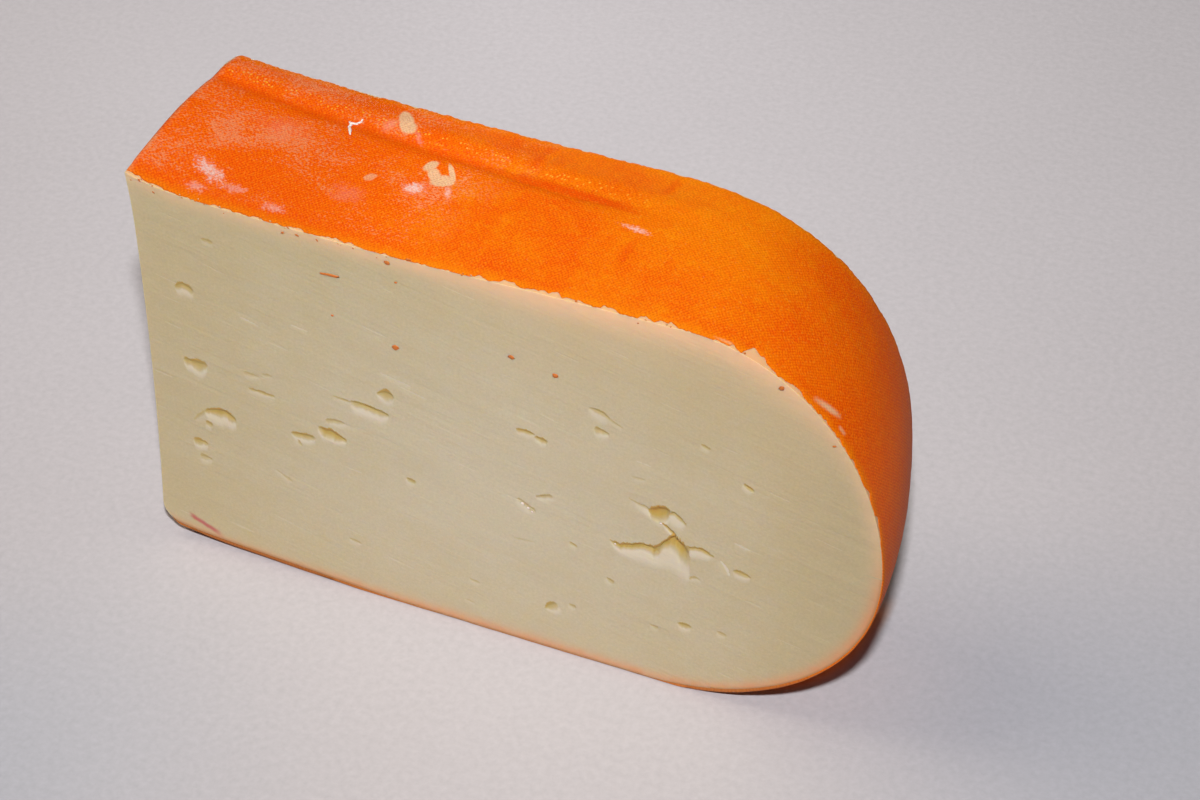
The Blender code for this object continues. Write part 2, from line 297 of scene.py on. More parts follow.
# Eyes in the front cut: middle x and z, half width, height of the amber band, height of the pale ramp under
# it, depth, tilt in degrees, how far the band arches, and how strong its amber is (below 0 a pale scratch).
frontEyes = [
    (7.3, 53.7, 1.6, 1.2, 1.4, 1.0, 4, 0.6, 0.85), (7.6, 39.1, 2.1, 1.5, 1.6, 1.3, 1, 0.1, 0.8),
    (11.0, 29.4, 2.8, 1.4, 2.2, 1.8, 1, 0.9, 1.0), (7.1, 28.3, 1.7, 0.5, 0.5, 0.4, 47, 0, 0.4),
    (8.7, 27.1, 0.6, 0.8, 0.9, 0.7, -14, 0, 0.7), (6.6, 22.5, 1.3, 1.1, 1.2, 1.0, -2, 0.2, 0.85),
    (7.3, 19.4, 1.1, 0.8, 1.0, 0.7, -5, 0.1, 0.5), (17.7, 40.0, 1.4, 0.4, 0.6, 0.4, 0, 0, 0.35),
    (20.5, 40.7, 0.9, 0.4, 0.5, 0.4, 3, 0.1, 0.35), (19.2, 36.9, 2.3, 0.45, 0.5, 0.6, -2, 0, 0.8),
    (25.9, 30.3, 2.1, 1.1, 0.9, 1.1, 6, 0, 0.85), (25.1, 28.6, 0.7, 0.4, 0.3, 0.4, -50, 0, 0.4),
    (32.0, 35.1, 1.7, 0.7, 0.5, 0.6, 9, 0.1, 0.5), (31.3, 32.3, 2.5, 1.5, 0.8, 1.7, -12, 0, 1.0),
    (38.3, 39.8, 3.3, 1.1, 1.7, 1.5, -7, 0.1, 0.8), (33.7, 40.2, 1.8, 0.3, 0.3, 0.3, -4, 0, 0.5),
    (41.2, 43.4, 1.4, 1.4, 1.0, 1.2, 0, 0.3, 0.8), (43.2, 47.1, 2.7, 0.3, 1.0, 0.4, -13, 0, -0.5),
    (44.6, 27.4, 0.8, 0.9, 0.6, 0.8, -19, 0, 0.7), (21.6, 20.5, 1.7, 0.3, 0.5, 0.4, -30, 0, 0.25),
    (64.7, 44.0, 1.5, 0.7, 0.5, 0.9, -1, 0.1, 0.9), (67.3, 43.3, 1.0, 0.8, 0.5, 1.1, -12, 0, 0.9),
    (77.0, 51.6, 1.7, 0.7, 1.5, 0.9, -18, 0.4, 0.6), (79.5, 50.6, 1.4, 0.3, 0.4, 0.3, -26, 0, 0.3),
    (77.3, 48.2, 1.2, 0.8, 0.9, 1.0, -6, 0.1, 0.6), (64.4, 29.2, 1.7, 0.8, 0.9, 0.9, -33, 0, 0.4),
    (67.5, 31.9, 1.5, 0.6, 0.7, 0.8, 20, 0.2, 0.6), (93.8, 50.8, 0.8, 0.5, 0.5, 0.6, -18, 0, 0.6),
    (100.6, 45.3, 0.9, 0.6, 0.6, 0.9, -27, 0, 0.9), (83.1, 41.1, 1.1, 0.4, 0.4, 0.4, 2, 0, 0.2),
    (99.8, 27.8, 1.4, 0.7, 0.8, 1.0, -8, 0.1, 0.8), (63.8, 21.8, 1.8, 0.3, 0.4, 0.3, 6, 0, 0.2),
    (72.1, 23.8, 0.7, 0.5, 0.5, 0.6, -25, 0, 0.6), (67.9, 9.2, 1.3, 1.1, 0.9, 1.1, 44, 0, 0.7),
    (71.6, 10.6, 0.6, 0.6, 0.5, 0.6, -14, 0, 0.5), (78.2, 18.6, 0.7, 0.6, 0.5, 0.7, -30, 0, 0.6),
    (90.5, 13.6, 1.1, 0.8, 0.7, 0.9, -2, 0.1, 0.8), (85.5, 11.5, 0.7, 0.5, 0.4, 0.5, -9, 0, 0.4),
    (54.7, 9.8, 0.9, 0.4, 0.4, 0.5, -10, 0, 0.4), (96.6, 14.2, 0.8, 0.5, 0.5, 0.6, -14, 0, 0.4),
    (33.6, 10.7, 1.1, 0.4, 0.4, 0.5, -11, 0, 0.4), (18.3, 50.7, 1.6, 0.2, 0.4, 0.2, -14, 0, -0.5),
    (27.2, 52.1, 1.4, 0.2, 0.4, 0.2, -10, 0, -0.5), (12.6, 64.4, 1.0, 0.6, 0.5, 0.5, 0, 0.1, 0.5),
    (84.0, 44.2, 1.2, 0.2, 0.4, 0.2, -8, 0, -0.5), (53.7, 5.1, 0.9, 0.2, 0.4, 0.3, -12, 0, 0.2),
    (99.8, 33.3, 1.3, 0.3, 0.5, 0.3, -14, 0, -0.6), (96.9, 28.0, 1.5, 0.4, 0.8, 0.4, -62, 0.3, -0.8),
    (92.2, 23.8, 0.9, 0.4, 0.4, 0.5, 10, 0.5, 0.5), (46.0, 45.5, 2.4, 0.2, 0.4, 0.2, -13, 0, -0.5),
]

# The open crack. Of each opening, from left to right: x, its upper lip, the foot of the amber, the foot of
# the pale ramp, depth, and amber. jag is how uneven the lip is. A mound rises from the floor of the first:
# its middle, half width and height.
crack = [
    {"jag": 0.16, "mound": (87.2, 27.7, 0.9, 1.1),
     "x": (78.2, 79.0, 79.8, 81.4, 83.5, 84.6, 85.4, 86.2, 87.0, 88.0, 88.9, 89.15, 89.35, 89.6, 89.8,
        90.05, 90.3, 90.8, 91.4),
     "lip": (27.1, 26.9, 26.8, 27.5, 28.2, 28.3, 28.4, 28.8, 29.8, 31.1, 32.2, 31.3, 31.8, 30.8, 31.3,
        30.5, 30.9, 30.4, 30.3),
     "band": (26.9, 26.2, 25.9, 26.4, 27.1, 27.2, 26.7, 27.1, 28.6, 29.4, 29.2, 28.9, 28.6, 28.0, 27.8,
        27.6, 27.4, 27.2, 27.0),
     "foot": (26.7, 25.6, 24.9, 24.3, 24.2, 24.0, 24.0, 24.0, 23.9, 23.8, 23.6, 23.5, 23.4, 23.2, 23.0,
        22.9, 22.9, 22.6, 22.3),
     "depth": (0.0, 1.2, 1.5, 1.9, 2.1, 2.2, 2.6, 3.0, 3.4, 3.8, 4.2, 4.2, 4.2, 4.2, 4.2, 3.8, 3.2, 1.9,
        0.0),
     "amber": (0.4, 0.8, 1.0, 0.9, 0.9, 0.8, 0.9, 0.9, 0.9, 1.0, 1.0, 1.0, 1.0, 1.0, 1.0, 0.95, 0.8, 0.55,
        0.3)},
    {"jag": 0.08,
     "x": (84.7, 85.2, 86.3, 87.5, 88.2),
     "lip": (35.3, 36.1, 36.9, 37.0, 36.5),
     "band": (35.0, 34.1, 34.1, 34.7, 35.5),
     "foot": (34.7, 33.6, 33.0, 33.2, 34.4),
     "depth": (0.0, 2.2, 3.0, 2.8, 0.5),
     "amber": (0.7, 1.0, 1.0, 0.85, 0.5)},
    {"jag": 0.1,
     "x": (88.0, 88.8, 89.7, 90.8),
     "lip": (35.9, 36.5, 35.9, 34.6),
     "band": (35.5, 35.8, 35.1, 34.3),
     "foot": (33.7, 33.3, 33.1, 34.0),
     "depth": (0.4, 1.6, 1.5, 0.0),
     "amber": (0.5, 0.7, 0.8, 0.5)},
    {"jag": 0.04,
     "x": (81.6, 83.0, 84.3, 85.0),
     "lip": (36.6, 36.2, 36.0, 35.5),
     "band": (36.5, 35.9, 35.6, 35.2),
     "foot": (36.2, 35.0, 34.2, 34.1),
     "depth": (0.0, 0.5, 0.9, 1.0),
     "amber": (0.3, 0.3, 0.4, 0.6)},
    {"jag": 0.12,
     "x": (86.9, 87.8, 88.6, 89.2),
     "lip": (33.7, 33.1, 32.5, 31.9),
     "band": (33.4, 32.6, 31.9, 31.4),
     "foot": (33.1, 32.2, 31.3, 31.0),
     "depth": (0.0, 1.3, 2.4, 2.0),
     "amber": (0.8, 1.0, 1.0, 1.0)},
    {"jag": 0.1,
     "x": (91.2, 92.6, 93.5, 94.4, 95.3),
     "lip": (30.3, 30.7, 30.7, 30.3, 29.8),
     "band": (29.7, 30.1, 30.0, 29.7, 29.6),
     "foot": (28.3, 28.5, 28.6, 28.9, 29.4),
     "depth": (1.2, 1.1, 1.2, 0.9, 0.0),
     "amber": (0.7, 0.7, 0.9, 0.8, 0.5)},
]
crackColumns = ("lip", "band", "foot", "depth", "amber")
# Eyes in the two cuts that face away
farEyes = {"back": 11, "end": 4, "seed": 5, "margin": 10.0, "across": (1.0, 2.6), "up": (0.7, 1.3),
           "tilt": 20}


def barHeights(x, v, under):
    # Lowest and highest z of the plain bar at x: a flat bottom and top, circles of the foot and the shoulder
    # at the square end, an ellipse below the tip and a superellipse above it. Then the outward direction of
    # the top, and that of the bottom with its z turned up.
    length, height, mid, reach, power, lowReach, foot, shoulder = barSizes(v, under)
    past = np.clip((x - length + reach) / reach, 0, 1).round(9)
    lowPast = np.clip((x - length + lowReach) / lowReach, 0, 1).round(9)
    top = mid + (height - mid) * (1 - past**power) ** (1 / power)
    top = top - shoulder + np.sqrt(np.maximum(shoulder**2 - np.maximum(shoulder - x, 0) ** 2, 0))
    low = mid - (mid - under) * np.sqrt(1 - lowPast**2)
    low = low + foot - np.sqrt(np.maximum(foot**2 - np.maximum(foot - x, 0) ** 2, 0))
    outX, outZ = past ** (power / 2), np.sqrt(np.maximum(1 - past**power, 0))
    return low, top, outX, outZ, lowPast, np.sqrt(1 - lowPast**2)


def columnPlaces(share, v, under):
    # x of each column: even steps round the foot's quarter circle, along the straight, and round the
    # rounded end's quarter ellipse.
    foot, reach = slab["foot"], slab["bottomReach"] - under
    straight = slab["length"] - slab["bottomReach"] - foot
    walk = share * (foot * math.pi / 2 + straight + reach * math.pi / 2)
    length = slab["length"] - slab["backShorter"] * v - under
    turn = np.clip(walk / foot, 0, math.pi / 2)
    middle = np.clip((walk - foot * math.pi / 2) / straight, 0, 1)
    last = np.clip((walk - foot * math.pi / 2 - straight) / reach, 0, math.pi / 2)
    return np.maximum(foot * (1 - np.cos(turn)) + (length - reach - foot) * middle + reach * np.sin(last), 0)


def grooveFill(x, y):
    # The coat makes the groove and the ridge shallower: a share of the groove's depth, least in the middle of
    # its length and nearly all at its end, and half of the ridge or more.
    deep, ridge, fade = grooveAt(x, y)
    filled = 0.38 + 0.16 * (1 - smoothStep(x, 25, 70)) + 0.55 * smoothStep(x, 62, 76)
    return fade * (deep * filled - (0.28 + 0.12 * smoothStep(x, 45, 75)) * ridge)


def openHollow(depth, tint, below, band, ramp, deep, amber):  # deep is in millimetres
    # A hollow by the distance below its lip. A roof goes in to the full depth in an S curve, the floor comes
    # back out to four tenths of it at the foot of the band, and a ramp then runs out with a curve (1 - q)
    # squared. What is seen from above is moved down by the depth, so the band's foot is too.
    floorDepth = 0.4 * deep
    foot = band + 0.925 * floorDepth
    last = np.maximum(band + ramp, foot + 0.35)
    roof = smoothStep(below, 0, 0.45 * foot)
    inside = floorDepth + (deep - floorDepth) * (1 - smoothStep(below, 0.45 * foot, foot))
    out = floorDepth * np.clip(1 - (below - foot) / (last - foot), 0, 1) ** 2
    hollow = np.where(below <= foot, roof * inside, out) * (below > 0)
    # Amber: painted shade in the band under the lip, strongest right under it, less a painted highlight on
    # the ramp below; below 0, a pale scratch.
    shade = 1 - smoothStep(below / foot, 0.55, 1.28) + 0.6 * (1 - smoothStep(below / foot, 0.12, 0.55))
    pale = 0.65 * smoothStep(below / foot, 1.05, 1.4) * (1 - smoothStep(below, (foot + last) / 2, last + 0.8))
    near = (below > -0.08) & (below < last + 0.8)
    pale = pale * np.minimum(deep / 0.2, 1)
    shade = np.where(near, np.where(amber > 0, shade * amber - pale, amber * (shade + pale)), 0)
    return np.maximum(depth, hollow), np.where(np.abs(shade) > np.abs(tint), shade, tint)


def hollowsOn(a, b, eyes, cracks, seed):
    # Depth and amber of all hollows at face coordinates a (across) and b (up). An eye's lip and the foot of
    # its band are bows over and under one line, both uneven, on an arch.
    depth, tint = np.zeros_like(a), np.zeros_like(a)
    for number, (x, z, half, band, ramp, deep, tilt, arch, amber) in enumerate(eyes):
        near = (np.abs(a - x) < half + 2) & (np.abs(b - z) < half + band + ramp + 3)
        c, s = math.cos(math.radians(tilt)), math.sin(math.radians(tilt))
        dx, dz = a[near] - x, b[near] - z
        along, up = (dx * c + dz * s) / half, dz * c - dx * s
        bow = np.maximum(1 - np.abs(along) ** 2.4, 0) ** (1 / 2.4)
        walk = along * half
        rough = 0.30 * lumps(walk, number, 0.7, seed) + 0.22 * lumps(walk, number, 0.3, seed + 1)
        lean = 1 + 0.6 * lumps(number, 0, 1.0, seed + 2) * along
        line = arch * (1 - along**2) + 0.14 * band * lumps(walk, number, 1.1, seed + 5)
        thick = band * bow * lean * (1 + rough)
        below = np.where(bow > 0.05, line + thick / 2 - up, -1)
        ends = bow**0.8
        depth[near], tint[near] = openHollow(depth[near], tint[near], below, thick, ramp * ends,
                                             deep * ends * paste["eyeShare"], amber * ends**0.5)
    for number, opening in enumerate(cracks):
        places = opening["x"]
        near = (a > places[0]) & (a < places[-1])
        near = near & (b > min(opening["foot"]) - 1) & (b < max(opening["lip"]) + 1)
        x, z = a[near], b[near]
        lip, band, foot, deep, amber = (np.interp(x, places, opening[key]) for key in crackColumns)
        jag = opening["jag"] * (lumps(x, number, 0.45, seed + 3) + 0.8 * lumps(x, number, 0.2, seed + 4))
        lip = lip + jag
        band, foot = np.maximum(lip - band - 0.6 * jag, 0.15), lip - foot
        deep, amber = deep * paste["crackShare"], amber * 1.2
        if "mound" in opening:
            moundX, moundZ, wide, high = opening["mound"]
            mound = np.exp(-((x - moundX) ** 2 + (z - moundZ) ** 2) / wide**2)
            deep, amber = deep - high * paste["crackShare"] * mound, amber * (1 - 0.9 * mound)
        ramp = np.maximum(foot - band, 0.2)
        depth[near], tint[near] = openHollow(depth[near], tint[near], lip - z, band, ramp, deep, amber)
    return depth, tint


def drawnEyes(draw, count, low, high):
    # Eyes in a cut that faces away, between two corners, by the same seeded rule as the solid's.
    spots = []
    while len(spots) < count:
        spot = (draw.uniform(low[0], high[0]), draw.uniform(low[1], high[1]))
        if all(math.dist(spot, other) > farEyes["margin"] for other in spots):
            spots.append(spot)
    eyes = []
    for x, z in spots:
        across, up = draw.uniform(*farEyes["across"]), draw.uniform(*farEyes["up"])
        tilt = draw.uniform(-farEyes["tilt"], farEyes["tilt"])
        eyes.append((x, z, across, up, up * 1.3, 1.4, tilt, draw.uniform(0, 0.5), draw.uniform(0.5, 1)))
    return eyes


def rindDistance(x, z, v, under):
    # Distance in the cut from the rind: to the straight top or bottom, or how far inside the ellipse or
    # superellipse of the rounded end, along the line from its centre.
    length, height, mid, reach, power, lowReach = barSizes(v, under)[:6]
    dx, dz = np.maximum(x - length + reach, 0), z - mid
    ring = ((dx / reach) ** power + (np.maximum(dz, 0) / (height - mid)) ** power) ** (1 / power)
    top = np.where(dx > 0, np.hypot(dx, dz) * (1 / np.maximum(ring, 1e-3) - 1), height - z)
    dx = np.maximum(x - length + lowReach, 0)
    ring = np.hypot(dx / lowReach, np.minimum(dz, 0) / mid)
    low = np.where(dx > 0, np.hypot(dx, dz) * (1 / np.maximum(ring, 1e-3) - 1), z - under)
    return np.maximum(np.where(dz > 0, top, 1e3), 0), np.maximum(np.where(dz > 0, 1e3, low), 0)


def patch(index, fine, blockRows, blockColumns):
    # Faces of one side from its lattice of point numbers. Where fine is set, each small cell is a quad.
    # Elsewhere a whole block is one face, with extra corners only where a fine block lies beside it.
    rows, columns = fine.shape
    i, j = np.arange(blockRows), np.arange(blockColumns)
    ringI = np.concatenate([i, 0 * j + blockRows, blockRows - i, 0 * j])
    ringJ = np.concatenate([0 * i, j, 0 * i + blockColumns, blockColumns - j])
    side = np.repeat([0, 1, 2, 3], [blockRows, blockColumns] * 2)
    corner = (ringI % blockRows == 0) & (ringJ % blockColumns == 0)
    padded = np.pad(fine, 1)
    beside = np.stack([padded[1:-1, :-2], padded[2:, 1:-1], padded[1:-1, 2:], padded[:-2, 1:-1]], -1)
    blockI, blockJ = np.nonzero(~fine)
    numbers = index[blockI[:, None] * blockRows + ringI, blockJ[:, None] * blockColumns + ringJ]
    kept = corner | beside[blockI[:, None], blockJ[:, None], side]
    loops, counts = [numbers[kept]], [kept.sum(1)]
    small = np.kron(fine, np.ones((blockRows, blockColumns), bool))
    i, j = np.nonzero(small)
    quads = np.stack([index[i, j], index[i + 1, j], index[i + 1, j + 1], index[i, j + 1]], 1)
    loops.append(quads.ravel())
    counts.append(np.full(len(quads), 4))
    return np.concatenate(loops), np.concatenate(counts)


def fineBlocks(depth, block):
    # Blocks where the surface is hollowed, and their neighbours, but none along a side's border.
    rows, columns = (depth.shape[0] - 1) // block, (depth.shape[1] - 1) // block
    cells = depth[:-1, :-1].reshape(rows, block, columns, block)
    busy = cells.max((1, 3)) - cells.min((1, 3)) > 0.01
    wide = np.pad(busy, 1)
    busy = wide[1:-1, 1:-1] | wide[:-2, 1:-1] | wide[2:, 1:-1] | wide[1:-1, :-2] | wide[1:-1, 2:]
    busy[[0, -1]] = False
    busy[:, [0, -1]] = False
    return busy


def makePaste(material):
    under, block, thickness = paste["under"], paste["block"], slab["thickness"]
    u, r, d = (np.linspace(0, 1, paste[key] + 1) for key in ("columns", "rows", "deep"))
    nearTop = smoothStep(r, 0.94, 1)[:, None]
    draw, margin, edge = random.Random(farEyes["seed"]), farEyes["margin"], thickness / 4
    far, top = slab["length"] - slab["bottomReach"] / 2 - margin, slab["height"] - margin
    backEyes = drawnEyes(draw, farEyes["back"], (margin, margin), (far, top))
    endEyes = drawnEyes(draw, farEyes["end"], (edge, margin), (thickness - edge, top))
    sides = []  # of each: its points, their amber and distances from the rind above and below, and its faces

    def addSide(x, y, z, amber, above, below, fine, blockRows, turned):
        index = np.arange(x.size).reshape(x.shape) + sum(len(side[0]) for side in sides)
        if turned:
            index, fine = index[:, ::-1], fine[:, ::-1]
        values = [np.broadcast_to(value, x.shape).ravel() for value in (amber, above, below)]
        sides.append([inFrame(x, y, z).reshape(-1, 3), *values, *patch(index, fine, blockRows, block)])

    def rimless(values):  # 1 inside a side's lattice, 0 on its rim, where it meets the others
        return np.pad(np.ones((values.shape[0] - 2, values.shape[1] - 2)), 1)

    # The two big cuts: columns by rows, hollowed along y.
    for v, eyes, cracks in ((0.0, frontEyes, crack), (1.0, backEyes, [])):
        x = columnPlaces(u, v, under)
        low, top, outX, outZ = barHeights(x, v, under)[:4]
        x, z = np.broadcast_to(x, (len(r), len(u))), low * (1 - r[:, None]) + top * r[:, None]
        lower = np.minimum(grooveFill(x, thickness * v), 0)
        bentX, bentZ = bend(x, z, v, outX * nearTop, outZ * nearTop, lower)
        depth, amber = hollowsOn(bentX, bentZ, eyes, cracks, 11 if v == 0 else 31)
        above, below = rindDistance(x, z, v, under)
        calm = smoothStep(np.minimum(above, below), 0, 2) * smoothStep(x, 0, 2)
        alongKnife, up = bentX * 0.97 - bentZ * 0.21, bentZ * 0.97 + bentX * 0.21
        wave = lumps(alongKnife, up, 9.0, 3) * 0.6 + lumps(alongKnife * 0.15, up, 1.6, 4) * 0.4
        inward = (depth + paste["waviness"] * calm * (1 + wave)) * rimless(x)
        y = inward if v == 0 else thickness - inward
        addSide(bentX, y, bentZ, amber, above, below, fineBlocks(depth, block), block, v == 0)

    # The bands under the rind, from the front cut to the back cut.
    v = d[::block, None]
    x = columnPlaces(u[None], v, under)
    low, top, outX, outZ, lowOutX, lowOutZ = barHeights(x, v, under)
    deeper = -np.minimum(v * 40, 1)
    coarse = np.zeros((len(v) - 1, paste["columns"] // block), bool)
    lower = np.minimum(grooveFill(x, thickness * v), 0) * (outX < 1)  # none at the tip, where the bands meet
    bentX, bentZ = bend(x, top, v, outX, outZ, lower)
    addSide(bentX, thickness * v, bentZ, 0.0, deeper, 20.0, coarse, 1, True)
    bentX, bentZ = bend(x, low, v, lowOutX, -lowOutZ)
    addSide(bentX, thickness * v, bentZ, 0.0, 20.0, deeper, coarse, 1, False)

    # The square end: rows by depth, hollowed along x.
    v = d[None]
    low, top = barHeights(np.zeros_like(v), v, under)[:2]
    z = low * (1 - r[:, None]) + top * r[:, None]
    lower = np.minimum(grooveFill(0 * z, thickness * v), 0)
    bentX, bentZ = bend(0 * z, z, v, 0.0, nearTop, lower)
    depth, amber = hollowsOn(thickness * v + 0 * z, bentZ, endEyes, [], 51)
    fine = fineBlocks(depth, block)
    addSide(bentX + depth * rimless(z), thickness * v, bentZ, amber, top - z, z - low, fine, block, False)

    points, amber, above, below, loops, counts = (np.concatenate(part) for part in zip(*sides))
    made, source = meshFrom("cheese_paste", points, loops, counts)
    above, below = np.minimum(above, 20), np.minimum(below, 20)
    pointValues(made, amber=amber[source], above=above[source], below=below[source])
    made.data.set_sharp_from_angle(angle=math.radians(paste["sharpest"]))
    wear(made, material)


def pasteFinish():
    f = Finish("paste_finish", paste, "creamCool", {
        "Subsurface Weight": 0.75, "Subsurface Radius": (1.0, 0.60, 0.25), "Subsurface Scale": 1.5 * mm,
        "Specular IOR Level": 0.25,
    })
    across, up = f.x * 0.978 - f.z * 0.208, f.z * 0.978 + f.x * 0.208  # along and across the knife's marks
    face = f.vector(across, f.y, up)
    mottle = f.noise(face, 14.0, 3.0, 0.6)
    fineMottle = f.noise(face, 2.2, 3.0, 0.6)
    grain = f.noise(face, 0.45, 2.0, 0.6)
    streak = f.noise(f.vector(across * 0.05, f.y * 0.2, up), 0.7, 3.0, 0.65)
    scratch = f.noise(f.vector(across * 0.12 + fineMottle * 0.6, f.y, up * 1.6), 1.1, 1.0).ramp(0.70, 0.76)
    # Paler in the middle of the cut, a painted highlight, and yellower round its edges.
    away = f.sum("SQRT", ((f.x - 60.0) / 56.0) ** 2.0 + ((f.z - 29.0) / 44.0) ** 2.0)
    outsidePaintedHighlight = away * 1.05 - 0.15 + (mottle - 0.5) * 0.9 + (fineMottle - 0.5) * 1.0 + f.x.ramp(98.0, 118.0) * 0.5
    f.paint(outsidePaintedHighlight.clipped(), "creamWarm")
    # Darker towards the rounded end, and uneven in tone.
    uneven = (fineMottle - 0.5) * 0.09 + (grain - 0.5) * 0.22 + (streak - 0.5) * 0.08
    f.shade(0.98 - f.x.ramp(100.0, 119.0) * 0.06 + uneven)
    f.paint(scratch * 0.22, "pale")
    # Light through the rind: a bell curve of the distance to it, wide under the top, narrow elsewhere.
    above, below = f.attribute("above"), f.attribute("below")
    near, upper = f.sum("MINIMUM", above.largest(0.0), below.largest(0.0)), f.z.ramp(26.0, 44.0)
    wide = 2.0 + f.x.ramp(40.0, 70.0) * f.x.ramp(118.0, 100.0) * 1.2
    strong = 0.48 + f.x.ramp(10.0, 46.0) * 0.30 - f.x.ramp(92.0, 118.0) * 0.30
    glow = (near / wide).bell() * strong * (1 + (fineMottle - 0.5) * 0.7)
    glow = glow + f.sum("EXPONENT", near * -0.13) * 0.26 * f.x.ramp(40.0, 80.0) * f.x.ramp(120.0, 104.0)
    f.paint((glow * upper).clipped(), "glow")
    narrow = 1.0 + f.x.ramp(15.0, 50.0) * 0.5 + (mottle - 0.5) * 0.5
    glow = (near / narrow).bell() * (0.75 + (fineMottle - 0.5) * 0.8) * (0.6 + f.x.ramp(15.0, 55.0) * 0.4)
    f.paint((glow * (1 - upper)).clipped(), "underGlow")
    # Painted light through the rind on the paste under its broken edge.
    f.paint(above.ramp(0.0, -0.08) * 0.85, "lip")
    # Painted shade of the gap under the slab along the bottom edge, warmed by light off the rind.
    f.paint(below.ramp(0.60, 0.05) * (0.75 + (mottle - 0.5) * 0.8) * (1 - upper), "foot")
    stroke = ((f.z - 5.4) + (f.x - 3.0) * 0.44 + (fineMottle - 0.5) * 0.8).size().ramp(0.85, 0.15)
    f.paint(stroke * f.x.ramp(2.2, 3.4) * f.x.ramp(9.0, 6.6) * f.y.ramp(1.5, 0.8) * 0.95, "stroke")
    # Painted shade in the eyes and cracks, amber in their bands and darker under their lips, and painted
    # highlight on the ramps below them.
    amber = f.attribute("amber")
    f.paint((amber * -1.0).clipped(), "pale")
    f.paint(amber.clipped(), "amber")
    f.paint(amber.ramp(1.0, 1.5) * 0.9, "darkAmber")
    f.set("Base Color", f.colour)
    f.set("Roughness", 0.48 + (fineMottle - 0.5) * 0.2 - amber.clipped() * 0.15)
    f.relief(grain * 0.014 + fineMottle * 0.04 + streak * 0.08 + scratch * -0.03, 0.8)
    return f.material


# Rind: a thin coat over the top, the rounded end and the bottom
rind = {
    "orange": (0.69, 0.112, 0.0012, 1.0), "red": (0.67, 0.070, 0.0012, 1.0),
    "yellow": (0.72, 0.195, 0.002, 1.0),
    "end": (0.78, 0.076, 0.0012, 1.0),           # the rounded end is redder
    # bloom is the pale powder on the top, and also a painted sheen on the rounded end
    "bloom": (0.71, 0.240, 0.105, 1.0), "white": (0.72, 0.42, 0.36, 1.0), "cream": (0.66, 0.44, 0.25, 1.0),
    "groove": (0.62, 0.050, 0.0012, 1.0), "dots": (0.80, 0.34, 0.03, 1.0),
    "under": (0.47, 0.170, 0.050, 1.0),          # painted shade where it faces down, on the bottom
    "step": 0.25, "rows": 70, "thick": 0.45,
    "pitch": 0.62,                               # of the cloth's threads
    "sag": 1.9, "hem": 0.45,                      # below the slab, and at its front edge
    "notch": 104.0, "notchHalf": 1.6,            # the deep one in the front edge
    "least": 0.02, "crowd": 0.06, "edgeDrop": 0.07, "sharpest": 50,
}


def rindColumns():
    # The path round the slab: half the shoulder, the top, the end above and below its tip, the bottom and
    # half the foot. Each stretch gets columns for its length.
    length, height, mid, reach, _, lowReach, foot, _ = barSizes(0.0)
    quarter = math.pi / 2 / math.sqrt(2)
    end, lowEnd = quarter * math.hypot(reach, height - mid), quarter * math.hypot(lowReach, mid)
    lengths = [1.0, length - reach, end, lowEnd, length - lowReach, foot * math.pi / 4]
    return [max(round(stretch / rind["step"]), 4) for stretch in lengths]


def rindOutline(v, ragged):
    # x, z and the outward direction of every column at depths v (one row of depths a column): lines for the
    # top and bottom, circles for the corners, a superellipse and an ellipse for the end. On each stretch the
    # outward direction turns from one angle to another. The first one is uneven, as the coat is torn there.
    turns = [(135 - ragged * 25, 90), (90, 90), (90, 0), (0, -90), (-90, -90), (-90, -135)]
    parts, start = [], 0
    for number, (count, (first, last)) in enumerate(zip(rindColumns(), turns)):
        closing = number == len(turns) - 1
        t = np.linspace(0, 1, count + closing, endpoint=closing)[:, None]
        length, height, mid, reach, power, lowReach, foot, corner = barSizes(v[start:start + len(t)])
        start += len(t)
        angle = np.radians(first + (last - first) * t) + 0 * length
        c, s = np.cos(angle), np.sin(angle)
        turn, flat = length - reach, length - lowReach
        x, z = [
            (corner + corner * c, height - corner + corner * s),
            (corner + (turn - corner) * t, height),
            (turn + reach * np.abs(c) ** (2 / power), mid + (height - mid) * np.abs(s) ** (2 / power)),
            (flat + lowReach * c, mid + mid * s),
            (flat + (foot - flat) * t, 0),
            (foot + foot * c, foot + foot * s),
        ][number]
        parts.append([np.broadcast_to(part, angle.shape) for part in (x, z, c, s)])
    return [np.concatenate(part) for part in zip(*parts)]


